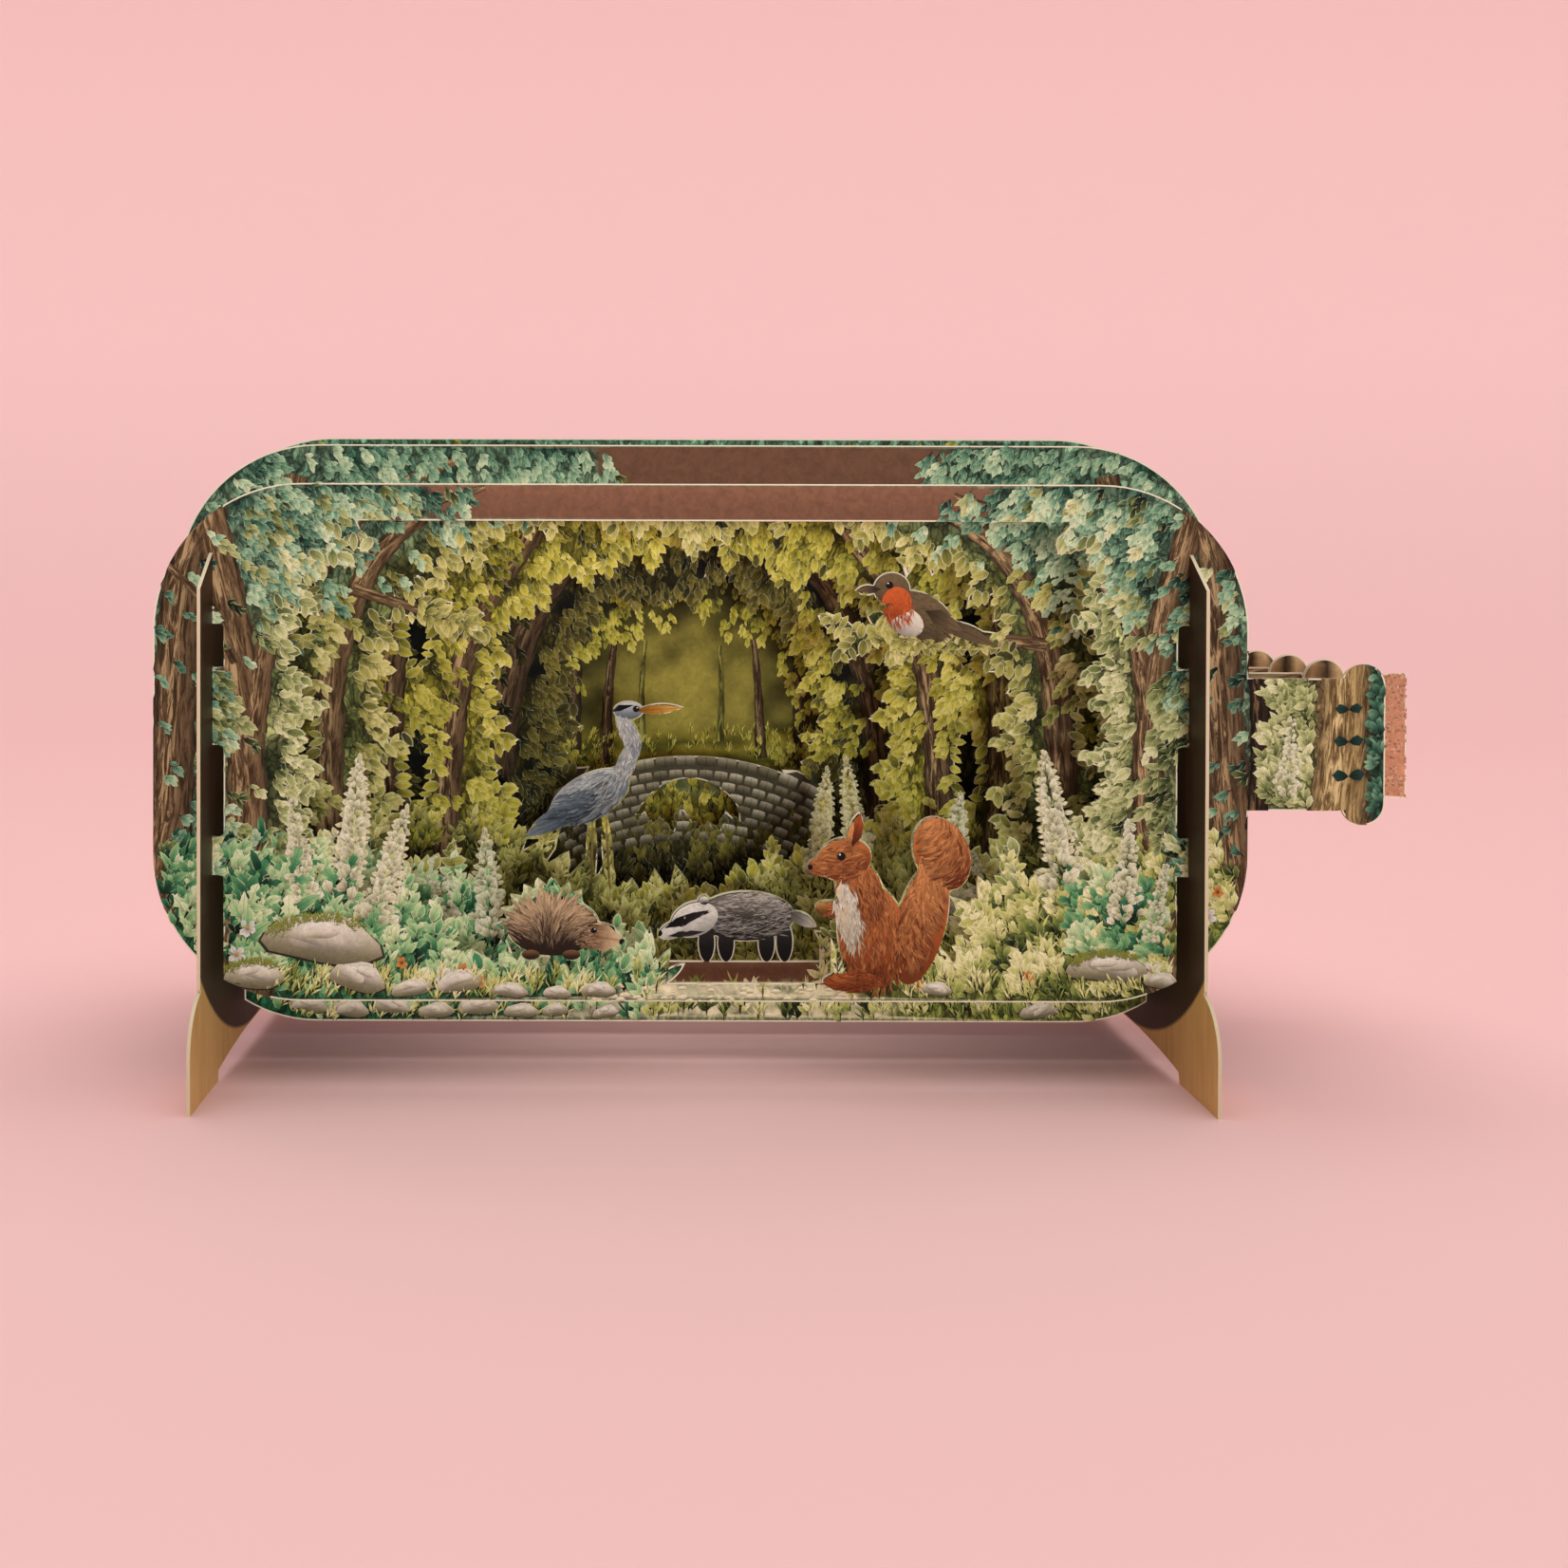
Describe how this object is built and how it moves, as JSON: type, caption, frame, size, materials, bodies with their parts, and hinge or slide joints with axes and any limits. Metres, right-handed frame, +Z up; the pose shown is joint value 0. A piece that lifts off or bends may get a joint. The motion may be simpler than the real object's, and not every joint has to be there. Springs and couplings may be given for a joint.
{
  "type": "pop-up greeting card",
  "caption": "Layered die-cut greeting card in the shape of a bottle lying on two feet, with a woodland scene cut into parallel sheets held by two side supports.",
  "frame": {"origin": "middle of the card's outer box, on the level its feet stand on", "axes": "+X along the bottle to its cork, -Y is the way the picture faces, +Z up"},
  "size_m": [0.1882, 0.0796, 0.0966],
  "materials": {
    "printed_board_front": "matte print on cream board",
    "printed_board_second": "matte print on cream board",
    "printed_board_middle": "matte print on cream board",
    "printed_board_fourth": "matte print on cream board",
    "printed_board_back": "matte print on cream board",
    "support_board": "matte print on cream board"
  },
  "bodies": {
    "root": {"front_sheet": "printed_board_front", "second_sheet": "printed_board_second", "middle_sheet": "printed_board_middle", "fourth_sheet": "printed_board_fourth", "back_sheet": "printed_board_back", "left_support": "support_board", "right_support": "support_board"}
  },
  "joints": []
}
